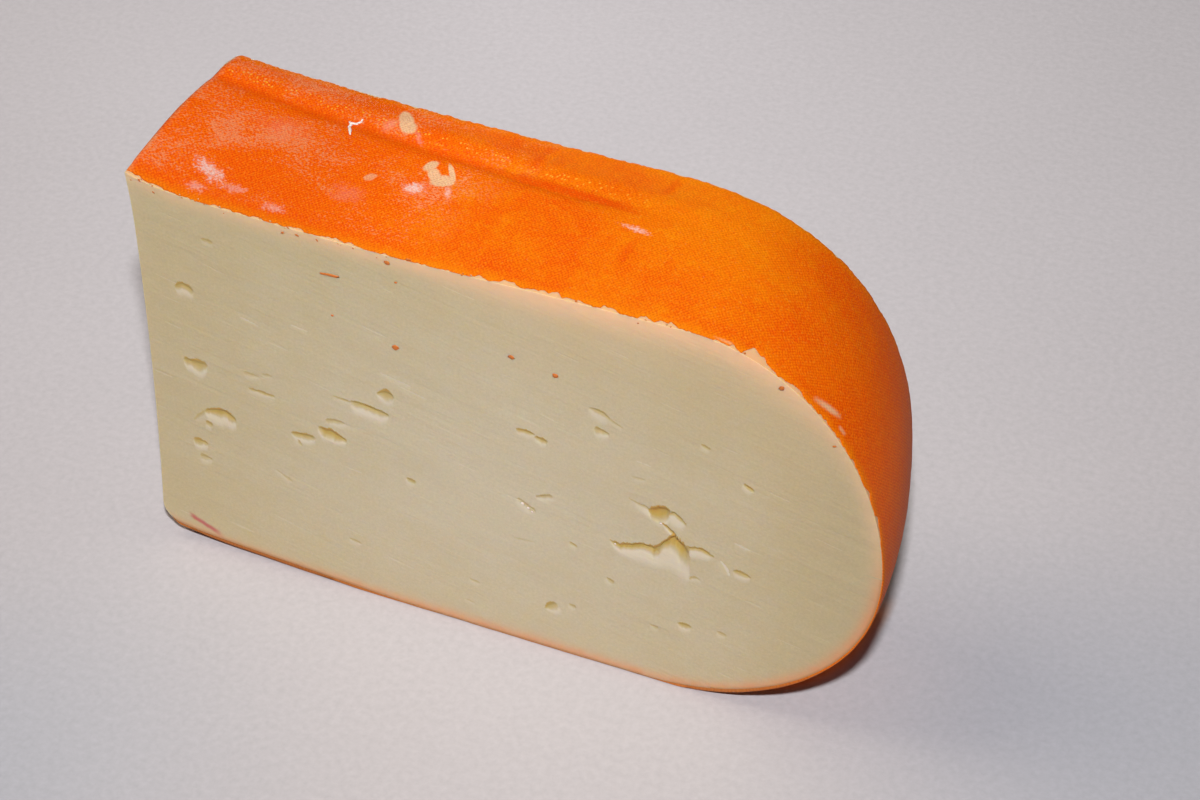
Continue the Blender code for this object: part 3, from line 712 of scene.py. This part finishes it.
def makeRind(material):
    thickness, count = slab["thickness"], rind["rows"]
    walk = np.arange(sum(rindColumns()) + 1) * rind["step"]
    tip = np.cumsum(rindColumns())[2] * rind["step"]
    # The front edge goes back in steps, less at the square end, not at all underneath, and has a deep notch.
    steps = smoothStep(lumps(walk, 0, 2.3, 60) + 0.6 * lumps(walk, 0, 0.9, 62), -0.35, 0.40)
    frontEdge = 0.14 + 0.42 * steps + 0.26 * lumps(walk, 0, 5.0, 61) + 0.26 * lumps(walk, 0, 1.2, 71)
    frontEdge = (frontEdge + 0.22 * lumps(walk, 0, 0.55, 63)) * (0.55 + 0.45 * smoothStep(walk, 20, 60))
    frontEdge = frontEdge + np.exp(-(((walk - rind["notch"]) / rind["notchHalf"]) ** 4))
    frontEdge = np.maximum(frontEdge * (1 - smoothStep(walk, tip - 14, tip + 8)), rind["least"])
    backEdge = 0.15 + 0.25 * lumps(walk, 5, 1.1, 64) + 0.15 * lumps(walk, 5, 0.5, 65)
    backEdge = np.maximum(backEdge, rind["least"])
    # Rows run over the outside, a little closer at both edges, and five come back inside the coat.
    outer = np.linspace(0, 1, count)
    outer = outer - rind["crowd"] * np.sin(2 * math.pi * outer) / (2 * math.pi)
    rows = np.concatenate([outer, np.linspace(1, 0, 5)])
    y = frontEdge[:, None] + (thickness - frontEdge - backEdge)[:, None] * rows
    level = np.where(np.arange(len(rows)) < count, 0, -rind["thick"]) + 0 * y
    level[:, [0, count - 1]] -= rind["edgeDrop"]
    shown = (level > -0.2).astype(float)
    x, z, nx, nz = rindOutline(y / thickness, 0.5 + 0.5 * lumps(y[0], 0, 0.9, 66))
    swell = 0.045 * lumps(walk[:, None], y, 7.0, 67) + 0.03 * lumps(walk[:, None], y, 2.4, 68)
    swell = swell + 0.015 * lumps(walk[:, None], y, 1.0, 69) - 0.06
    for place, middle, half, deep in rindCreases:
        off = (x - place - 0.15 * (y - middle)) / 0.45
        swell = swell - deep * np.exp(-(off**2) - ((y - middle) / half) ** 4) * (nz > 0.5)
    for centreX, centreY, halfX, halfY, deep in rindDents:
        near = np.hypot((x - centreX) / halfX, (y - centreY) / halfY) + 0.35 * lumps(x, y, 0.9, 70)
        swell = swell - deep * (1 - smoothStep(near, 0.75, 1.1)) * (nz > 0.5)
    swell = swell + grooveFill(x, y) * np.maximum(nz, 0)
    # Underneath, the coat sags between the cuts by 1 - |2v - 1| to the sixteenth, but not into the ground.
    plainZ = bend(x, z, y / thickness, nx, nz)[1]
    inner = (1 - np.abs(2 * y / thickness - 1) ** 16) * smoothStep(x, 1, 9)
    sag = between((rind["hem"], rind["sag"]), inner) * np.maximum(-nz, 0) * smoothStep(x, 0.5, 3)
    sag = np.minimum(sag, plainZ)
    bentX, bentZ = bend(x, z, y / thickness, nx, nz, level + swell * shown)
    bentZ = np.maximum(bentZ - sag * shown, np.where(shown > 0, 0.0, 0.15))
    index = np.arange(x.size).reshape(x.shape)
    following = np.roll(index, -1, axis=1)
    quads = np.stack([index[:-1], index[1:], following[1:], following[:-1]], -1).reshape(-1, 4)
    loops = np.concatenate([quads.ravel(), index[0], index[-1][::-1]])
    counts = np.concatenate([np.full(len(quads), 4), [x.shape[1]] * 2])
    made, source = meshFrom("cheese_rind", inFrame(bentX, y, bentZ), loops, counts)
    around = np.cumsum(np.hypot(np.diff(x, axis=0, prepend=x[:1]), np.diff(z, axis=0, prepend=z[:1])), 0)
    edge = np.minimum(y, thickness - y)
    pointValues(made, around=around.ravel()[source], edge=edge.ravel()[source], outward=nz.ravel()[source])
    made.data.set_sharp_from_angle(angle=math.radians(rind["sharpest"]))
    wear(made, material)


# Creases across it: x, y, half length, depth
rindCreases = [(57.4, 23.4, 2.8, 0.14), (78.2, 24.8, 2.4, 0.14), (77.2, 10.3, 2.2, 0.08)]
# Where the coat has come off: x, y, half width along and across, depth
rindDents = [(35.3, 23.7, 1.8, 2.0, 0.10), (44.6, 15.2, 2.2, 1.8, 0.09)]
# Where the bloom is thicker or thinner than its noise makes it: x, y, half width along and across, how much
bloomPlaces = [
    (20.6, 15.5, 5.0, 3.5, 0.55), (26.5, 13.5, 4.0, 2.5, 0.5), (33.1, 14.5, 4.0, 1.6, 0.5),
    (9.5, 15.0, 6.0, 4.0, 0.45), (29.2, 7.7, 2.6, 1.6, 0.7), (4.0, 8.0, 3.0, 3.0, 0.45),
    (12.0, 11.5, 3.0, 2.0, 0.5), (50.1, 5.7, 2.2, 1.2, 0.7), (12.9, 25.5, 10.0, 1.8, 0.6),
    (26.0, 25.5, 8.0, 1.5, 0.4), (14.4, 8.1, 2.2, 1.4, -0.8), (18.5, 5.5, 3.0, 2.2, -0.9),
    (23.5, 7.3, 2.0, 1.6, -0.7), (32.9, 9.8, 2.4, 1.4, -0.8), (38.4, 8.5, 3.0, 2.8, -0.7),
    (38.0, 18.7, 4.5, 1.6, -0.7), (7.5, 22.3, 3.0, 0.9, -0.8), (16.1, 19.9, 3.5, 1.4, -0.8),
    (22.3, 20.9, 3.5, 1.2, -0.8), (45.0, 12.0, 4.0, 3.0, 0.4),
]
# Cream chips and rubbed white places on the top: strength, x, y, half length, half width, turn in degrees,
# how uneven the border is, and the size of that
rindChips = [
    (1.0, 35.0, 24.0, 2.4, 1.10, -55, 0.6, 1.2), (1.0, 35.8, 23.0, 1.5, 1.15, -20, 0.6, 1.2),
    (1.0, 42.6, 16.8, 1.25, 0.8, 60, 0.6, 0.9), (1.0, 43.9, 15.3, 1.5, 0.9, -40, 0.6, 0.9),
    (1.0, 45.5, 14.6, 1.9, 1.15, 15, 0.6, 0.9), (1.0, 46.2, 16.5, 1.9, 0.42, 126, 0.5, 0.9),
    (0.55, 34.9, 11.8, 1.0, 0.6, 40, 1.0, 0.9),
]
rindBare = [
    (1.0, 11.3, 5.1, 3.3, 1.15, -19, 2.2, 1.2), (0.5, 10.5, 1.9, 1.6, 0.8, 0, 2.0, 1.0),
    (0.45, 16.4, 3.6, 2.0, 0.8, 0, 2.0, 1.0), (0.5, 23.6, 2.3, 1.9, 0.8, 0, 2.0, 1.0),
    (1.0, 42.2, 12.0, 1.9, 1.2, 10, 1.6, 1.2), (0.10, 18.0, 16.0, 4.0, 2.2, 0, 2.0, 2.4),
    (0.7, 47.3, 12.9, 1.5, 0.5, -70, 1.4, 1.0), (0.25, 33.0, 22.4, 1.6, 0.8, 60, 1.4, 1.0),
    (0.3, 38.2, 21.6, 1.5, 0.5, -50, 1.4, 1.0), (0.15, 33.0, 8.0, 3.0, 1.6, 0, 2.0, 1.8),
    (0.75, 76.9, 14.5, 2.4, 0.55, -8, 0.9, 1.2),
]
# Scuffs on the rim: from x, y, z to x, y, z, half width and strength
rindScuffs = [
    ((109.5, 1.6, 63.6), (113.5, 2.9, 61.1), 0.55, 0.75),
    ((113.7, 1.6, 59.9), (114.3, 1.6, 59.2), 0.36, 0.45),
    ((94.8, 0.4, 71.6), (97.4, 0.5, 70.9), 0.25, 0.45),
]


def rindFinish():
    f = Finish("rind_finish", rind, "red", {
        "Subsurface Weight": 0.06, "Subsurface Radius": (1.0, 0.35, 0.08), "Subsurface Scale": 1.0 * mm,
        "Specular IOR Level": 0.03,
    })
    around, edge, outward = (f.attribute(name) for name in ("around", "edge", "outward"))
    onTop = outward.ramp(0.35, 0.75)
    cloth = f.vector(around, f.y, 0.0)
    drift = (f.noise(cloth, 6.0, 2.0) - 0.5) * 1.1
    wobble = (f.noise(cloth, 1.1, 2.0, 0.6) - 0.5) * 0.5
    turn = 2 * math.pi / rind["pitch"]
    warp = f.sum("SINE", (around + drift + wobble) * turn)
    weft = f.sum("SINE", (f.y + drift * 0.6 + wobble) * turn)
    threads = (warp * weft) * 0.5 + 0.5
    speckle = f.noise(cloth, 0.30, 3.0, 0.65)
    clump = f.noise(cloth, 0.9, 3.0, 0.6)
    patches = f.noise(cloth, 9.0, 4.0, 0.6)
    blotch = f.noise(cloth, 3.2, 4.0, 0.62, 0.4)
    f.paint(patches.ramp(0.36, 0.64), "orange")
    yellower = around.ramp(60.0, 88.0) * around.ramp(106.0, 90.0) * (0.22 + f.y.ramp(9.0, 20.0) * 0.40)
    f.paint((blotch.ramp(0.45, 0.75) * 0.45 + yellower).clipped(), "yellow")
    f.paint(around.ramp(96.0, 120.0) * 0.7 + around.ramp(54.0, 26.0) * 0.85, "end")
    # A painted sheen on the rounded end near its tip, in the bloom's colour.
    f.paint(around.ramp(118.0, 138.0) * 0.12, "bloom")
    f.paint((threads * 0.7 + (speckle - 0.5) * 4.0 + (clump - 0.5) * 1.5).clipped() * 0.45, "yellow")
    f.paint(((0.5 - speckle) * 4.5 + (0.5 - clump) * 2.2).clipped() * 0.60, "red")
    # The groove is redder and the ridge behind it has pale dots where the cloth pressed.
    line = (slab["groovePlace"][1] - slab["groovePlace"][0]) / slab["grooveLength"]
    behind = f.y - (f.x * line + slab["groovePlace"][0])
    grooveFade = f.x.ramp(80.0, 70.0) * onTop
    groove = (behind + (clump - 0.5) * 0.8).size().ramp(1.25, 0.2) * grooveFade
    f.paint(groove * (0.30 + f.x.ramp(40.0, 74.0) * 0.5), "groove")
    ridge = (behind - 2.3).size().ramp(1.4, 0.2) * grooveFade
    spacing = {"Vector": cloth, "Scale": 1 / rind["pitch"], "Randomness": 0.6}
    dots = f.node("ShaderNodeTexVoronoi", {"feature": "F1"}, spacing).ramp(0.38, 0.14)
    f.paint((ridge * 0.75 + 0.16) * dots, "dots")

    def crease(x, y, half, deep):  # a soft red line across the rind
        off = ((f.x - x) - (f.y - y) * 0.15 + (clump - 0.5) * 1.2).size().ramp(1.0, 0.1)
        return off * (f.y - y).size().ramp(half * 1.3, half * 0.52) * onTop

    f.paint(strongest(crease(*shape) for shape in rindCreases) * 0.42, "groove")
    # Bloom: pinkish-white powder over the left part, up to a slanting edge.
    reachOfBloom = (f.x + (f.y - 14.0) * -0.5).ramp(57.0, 47.0) * onTop
    cover = f.noise(f.vector(around, f.y * 1.5, 3.0), 6.0, 5.0, 0.68, 0.5)
    dust = f.noise(f.vector(around * 0.8, f.y * 1.2, 0.0), 0.42, 2.0, 0.6)
    steer = sum(f.sum("EXPONENT", (((f.x - x) / halfX) ** 2.0 + ((f.y - y) / halfY) ** 2.0) * -1.0) * more
                for x, y, halfX, halfY, more in bloomPlaces)
    bloom = ((cover - 0.56) * 5.5 + steer * 1.35 + (dust - 0.5) * 7.0).clipped() * reachOfBloom
    bloom = bloom * (1 - groove * 0.8) * (f.y + (clump - 0.5) * 3.0).ramp(1.2, 3.6)
    f.paint((bloom * 0.66).clipped(), "bloom")
    # Painted light: yellower near the cuts, where light comes out through the paste.
    f.paint(edge.ramp(1.8, 0.1) * 0.55 * (0.4 + blotch), "yellow")

    def spot(x, y, halfX, halfY, turnBy, rough, size):  # 1 at the border of an uneven ellipse on the top
        c, s = math.cos(math.radians(turnBy)), math.sin(math.radians(turnBy))
        a = ((f.x - x) * c + (f.y - y) * s) / halfX
        b = ((f.y - y) * c - (f.x - x) * s) / halfY
        return f.sum("SQRT", a * a + b * b) + (f.noise(cloth, size, 3.0, 0.6) - 0.5) * rough

    def chip(strength, *shape):  # sharp sided
        return spot(*shape).ramp(1.22, 0.80) * onTop * strength

    def bare(strength, *shape):  # fading into the weave
        return (spot(*shape).ramp(1.9, 0.0) * 1.6 - dust * 3.2 + 0.95).clipped() * onTop * strength

    def scuff(start, end, wide, strength):  # a pale line on the rim, by the distance to a straight stretch
        step = [b - a for a, b in zip(start, end)]
        off = [place - a for place, a in zip((f.x, f.y, f.z), start)]
        share = sum(o * (s / sum(k * k for k in step)) for o, s in zip(off, step)).clipped()
        squares = sum((o - share * s) ** 2.0 for o, s in zip(off, step))
        return (f.sum("SQRT", squares) / wide + (speckle - 0.5) * 1.6).ramp(1.5, 0.2) * strength

    f.paint(strongest(chip(*shape) for shape in rindChips) * (0.62 + speckle * 0.4), "cream")
    f.paint(strongest(bare(*shape) for shape in rindBare).clipped(), "white")
    f.paint(strongest(scuff(*shape) for shape in rindScuffs), "cream")
    # Painted shade: darker brown where the rind faces down.
    f.paint(outward.ramp(-0.55, -0.95) * 0.8, "under")
    # Pale crumbs of paste along the edge over the square end.
    f.paint(((0.9 - around) * 0.9 + (clump - 0.5) * 3.0).clipped() * onTop * 0.2, "cream")
    # Darker over the left part of the top, and painted light on the rounded end where it turns from the lamp.
    leftAndEnd = 1 - f.x.ramp(50.0, 25.0) * 0.16 + around.ramp(112.0, 130.0) * 0.08
    f.shade((0.97 + (speckle - 0.5) * 0.55 + (threads - 0.5) * 0.20) * leftAndEnd)
    f.set("Base Color", f.colour)
    f.set("Roughness", 0.50 + (speckle - 0.5) * 0.25 + bloom * 0.15)
    f.relief((threads * 0.034 + speckle * 0.040) * (1 - groove * 0.8) + blotch * 0.05, 0.8)
    return f.material


# Crumbs and flecks
specks = {
    "orange": (0.62, 0.17, 0.03, 1.0), "cream": (0.60, 0.37, 0.19, 1.0), "white": (0.78, 0.66, 0.62, 1.0),
    "orangeCrumbs": 34, "creamCrumbs": 7, "crumbSeed": 8, "crumbSize": (0.09, 0.24), "around": 8, "up": 5,
}
# On the front cut: x, z, half length, half width, tilt
faceFlecks = [
    (33.6, 64.2, 1.75, 0.30, 1), (32.4, 64.15, 0.7, 0.26, 8), (43.7, 53.6, 0.6, 0.5, 0),
    (43.4, 69.4, 0.5, 0.4, 0), (44.6, 66.1, 0.28, 0.2, 0), (33.3, 56.5, 0.28, 0.2, 0),
    (63.0, 57.9, 0.6, 0.45, 20), (70.0, 56.6, 0.55, 0.45, 0), (105.3, 65.7, 0.6, 0.45, 30),
]
# The white flake on the top: x, y, half length, half width, turn
topFlakes = [(27.75, 19.3, 1.25, 0.24, -58), (27.2, 20.5, 0.75, 0.28, 90), (27.6, 20.95, 0.75, 0.22, 8),
             (28.3, 21.35, 0.75, 0.19, 55), (28.55, 21.8, 0.45, 0.15, 88), (26.9, 20.9, 0.5, 0.18, -50)]
# Wet beads in the eyes: x, z, radius
beads = [(63.7, 29.3, 0.32), (64.7, 28.7, 0.26), (79.1, 26.4, 0.18), (86.7, 33.4, 0.22), (65.3, 28.2, 0.18)]


def makeSpecks(name, places, sizes, turns, flatBy, colour, roughness, seed):
    # Each is a squashed ball. Its radius is multiplied by noise over its surface, then it is stretched,
    # turned about the axis that it lies flat against (1 for y on the cut, 2 for z on the top), and moved.
    lon = np.linspace(0, 2 * math.pi, specks["around"], endpoint=False)[None, None]
    lat = np.linspace(-math.pi / 2, math.pi / 2, specks["up"])[None, :, None]
    number = np.arange(len(places))[:, None, None]
    ball = (np.cos(lon) * np.cos(lat), np.sin(lon) * np.cos(lat), np.sin(lat) + 0 * lon)
    uneven = 1 + 0.35 * lumps(ball[0] * 1.3 + number * 3.1, np.sin(lon) * 1.3 + lat, 0.9, seed)
    uneven = np.where(np.abs(lat) > 1.57, 1, uneven)
    a, b, c = (part * uneven * sizes[:, k, None, None] for k, part in enumerate(ball))
    cosine, sine = np.cos(turns)[:, None, None], np.sin(turns)[:, None, None]
    a, b = a * cosine - b * sine, a * sine + b * cosine
    turned = (a, c, b) if flatBy == 1 else (a, b, c)
    x, y, z = (part + places[:, k, None, None] for k, part in enumerate(turned))
    index = np.arange(x.size).reshape(x.shape)
    following = np.roll(index, -1, axis=2)
    quads = np.stack([index[:, :-1], following[:, :-1], following[:, 1:], index[:, 1:]], -1).reshape(-1, 4)
    if flatBy == 1:
        quads = quads[:, ::-1]
    made = meshFrom(name, inFrame(x, y, z), quads.ravel(), np.full(len(quads), 4))[0]
    f = Finish(name + "_finish", specks, colour, {
        "Specular IOR Level": 0.3, "Subsurface Weight": 0.1, "Subsurface Scale": 0.5 * mm,
    })
    grain = f.noise(f.place, 0.3 * mm, 2.0)
    f.shade(0.9 + (grain - 0.5) * 0.5)
    f.set("Base Color", f.colour)
    f.set("Roughness", roughness + (grain - 0.5) * 0.1)
    wear(made, f.material)


def frontRim(walk):
    # x, z of the rind's edge on the front cut at distances along it, and its outward direction.
    columns = np.arange(sum(rindColumns()) + 1) * rind["step"]
    x, z, nx, nz = rindOutline(np.zeros((len(columns), 1)), np.zeros(1))
    return [np.interp(walk, columns, part[:, 0]) for part in (*bend(x, z, 0.0, nx, nz), nx, nz)]


def makeAllSpecks():
    draw = np.random.RandomState(specks["crumbSeed"])
    x, z, long, wide, tilt = np.array(faceFlecks).T
    places, sizes = np.stack([x, 0 * x + 0.04, z], 1), np.stack([long, wide, 0 * x + 0.10], 1)
    makeSpecks("orange_flecks", places, sizes, np.radians(tilt), 1, "orange", 0.5, 81)
    # Crumbs that the knife left along the rim of the front cut, thickest on the left half of the top. The
    # orange ones lie on the cut, the cream ones on the cut or just behind it on the rind.
    for colour, reach, seed in (("orange", 1.6, 82), ("cream", 0.4, 83)):
        count = specks[colour + "Crumbs"]
        toLeft = draw.uniform(size=count) < 0.7
        walk = np.where(toLeft, draw.uniform(1, 60, count), draw.uniform(1, 140, count))
        x, z, nx, nz = frontRim(walk)
        inward = draw.uniform(0.0, 1.0, count) ** 2 * reach - 0.1
        behind = draw.uniform(0.0, 0.35, count)
        y = np.full(count, 0.03) if colour == "orange" else behind
        inward = np.where(y > 0.1, -0.02, inward)
        size = draw.uniform(*specks["crumbSize"], count)
        places = np.stack([x - nx * inward, y, z - nz * inward], 1)
        sizes = np.stack([size * draw.uniform(0.8, 1.6, count), size * 0.8, size * 0.35], 1)
        makeSpecks(colour + "_crumbs", places, sizes, draw.uniform(-1, 1, count), 1, colour, 0.5, seed)
    x, y, long, wide, turn = np.array(topFlakes).T
    v = y / slab["thickness"]
    height = bend(x, slab["height"] + slab["backTaller"] * v, v, 0.0, 1.0)[1] + grooveFill(x, y)
    places, sizes = np.stack([x, y, height + 0.08], 1), np.stack([long, wide, 0 * x + 0.16], 1)
    makeSpecks("white_flake", places, sizes, np.radians(turn), 2, "white", 0.45, 84)
    x, z, radius = np.array(beads).T
    places = np.stack([x, hollowsOn(x, z, frontEyes, crack, 11)[0], z], 1)
    makeSpecks("whey_beads", places, radius[:, None] * np.array([1.0, 0.8, 0.5]), 0 * x, 1, "white", 0.12, 85)


# Stage, light and camera
stage = {"size": 4.0, "below": 5e-5,
         "floor": (0.515, 0.480, 0.497, 1.0), "corners": (0.44, 0.435, 0.475, 1.0),
         "underEnd": (0.92, 0.38, 0.110, 1.0)}    # painted light off the rind, in the shade under its rounded end
camera = {"place": (0.15818, -0.31727, 0.33491), "lens": 90.0,
          "azimuth": 24.9, "elevation": 40.0, "roll": -1.3}
light = {
    "middle": (0.0, 0.0, 0.035),
    # The main lamp is over the camera: its steps left and up from there, how much further off, and its aim.
    "main": {"power": 3.45, "size": 0.03, "spread": 90.0, "colour": (0.96, 0.985, 1.0), "even": True,
             "left": 0.003, "up": 0.071, "further": 1.15, "aimUp": 0.09},
    "side": {"power": 1.1, "size": 0.5, "spread": 120.0, "colour": (1.0, 0.86, 0.68), "even": False,
             "place": (-0.45, -0.10, 0.85)},
    "back": {"power": 0.05, "size": 0.3, "spread": 30.0, "colour": (1.0, 1.0, 1.0), "even": False,
             "place": (-0.30, 0.55, 0.06)},
    "world": (0.98, 0.97, 1.0, 1.0), "worldStrength": 0.045,
}


def link(name, data):
    made = bpy.data.objects.new(name, data)
    bpy.context.scene.collection.objects.link(made)
    return made


def makeFloor():
    half, low = stage["size"] / 2, -stage["below"]
    mesh = bpy.data.meshes.new("floor")
    corners = [(-half, -half, low), (half, -half, low), (half, half, low), (-half, half, low)]
    mesh.from_pydata(corners, [], [(0, 1, 2, 3)])
    f = Finish("floor_finish", stage, "floor", {"Roughness": 0.85, "Specular IOR Level": 0.2})
    fibre = f.noise(f.place, 1.2 * mm, 4.0, 0.6)
    cloud = f.noise(f.place, 60 * mm, 3.0, 0.5)
    # Painted shade: cooler and darker to the left and right of the part towards the camera.
    azimuth = math.radians(camera["azimuth"])
    x, y = f.x * mm, f.y * mm
    nearer = x * math.sin(azimuth) - y * math.cos(azimuth)
    right = x * math.cos(azimuth) + y * math.sin(azimuth)
    f.paint(nearer.ramp(-0.01, 0.05) * (right - 0.06).size().ramp(0.02, 0.09), "corners")
    # Painted light under the rounded end, as far as its shadow: the orange of light off the rind in its
    # shade. x is below 113.8 - 26 exp(-y / 5.8).
    inside = 113.8 - f.x - f.sum("EXPONENT", f.y / -5.8) * 26.0
    underEnd = inside.ramp(-1.3, 1.7) * f.x.ramp(70.0, 90.0) * f.y.ramp(0.0, 1.5) * f.y.ramp(33.0, 26.0)
    f.paint(underEnd * 0.9, "underEnd")
    # Painted light and shade: lighter towards the camera and a little darker to the right, with uneven fibre
    # and cloud.
    shade = 0.925 + nearer.ramp(0.02, 0.09) * 0.055 - right.ramp(0.08, 0.17) * 0.02
    f.shade(shade + (fibre - 0.5) * 0.26 + (cloud - 0.5) * 0.06)
    f.set("Base Color", f.colour)
    f.relief(fibre * 0.10 + cloud * 0.4, 0.5)
    mesh.materials.append(f.material)
    link("floor", mesh)


def put(name, data, right, up, place):  # a camera or a lamp, by the directions of its own x and y
    turned = np.eye(4)
    turned[:3] = np.stack([right, up, np.cross(right, up), place], 1)
    made = link(name, data)
    made.matrix_world = Matrix(turned.tolist())
    return made


def makeCamera():
    # Looks down by the elevation and round by the azimuth, then rolls about its own axis.
    azimuth, elevation, roll = (math.radians(camera[key]) for key in ("azimuth", "elevation", "roll"))
    right = np.array([math.cos(azimuth), math.sin(azimuth), 0.0])
    ahead = np.array([-math.sin(azimuth), math.cos(azimuth), 0.0])
    up = ahead * math.sin(elevation) + np.array([0.0, 0.0, math.cos(elevation)])
    right, up = right * math.cos(roll) + up * math.sin(roll), up * math.cos(roll) - right * math.sin(roll)
    lens = bpy.data.cameras.new("camera")
    lens.lens, lens.sensor_width = camera["lens"], 36.0
    lens.clip_start, lens.clip_end = 0.01, 20
    bpy.context.scene.camera = put("camera", lens, right, up, camera["place"])
    return np.array(camera["place"]), right, up


def makeLamp(name, values, place, target):  # a disc that looks at its target
    lamp = bpy.data.lights.new(name, "AREA")
    lamp.shape, lamp.size, lamp.energy = "DISK", values["size"], values["power"]
    lamp.color, lamp.spread = values["colour"], math.radians(values["spread"])
    if values["even"]:  # as bright far off as near
        lamp.use_nodes = True
        falloff = lamp.node_tree.nodes.new("ShaderNodeLightFalloff")
        falloff.inputs["Strength"].default_value = 1.0
        emission = lamp.node_tree.nodes["Emission"]
        lamp.node_tree.links.new(falloff.outputs["Constant"], emission.inputs["Strength"])
    aim = target - place
    side = np.cross(aim, [0, 0, 1.0])
    up = np.cross(side, aim)
    put(name, lamp, side / np.linalg.norm(side), up / np.linalg.norm(up), place)


def makeLights(place, right, up):
    middle, main = np.array(light["middle"]), light["main"]
    spot = middle + (place - right * main["left"] + up * main["up"] - middle) * main["further"]
    makeLamp("main_lamp", main, spot, middle + up * main["aimUp"])
    # A large warm one over the square end, which softens the shade of the rounded end, and a weak one behind.
    for name in ("side", "back"):
        makeLamp(name + "_lamp", light[name], np.array(light[name]["place"]), middle)
    world = bpy.data.worlds.new("room")
    world.use_nodes = True
    background = world.node_tree.nodes["Background"]
    background.inputs["Color"].default_value = light["world"]
    background.inputs["Strength"].default_value = light["worldStrength"]
    bpy.context.scene.world = world


print("camera and light")
makeLights(*makeCamera())
makeFloor()
print("paste")
makePaste(pasteFinish())
print("rind")
makeRind(rindFinish())
print("crumbs and flecks")
makeAllSpecks()

bpy.context.scene.view_settings.view_transform = "Standard"
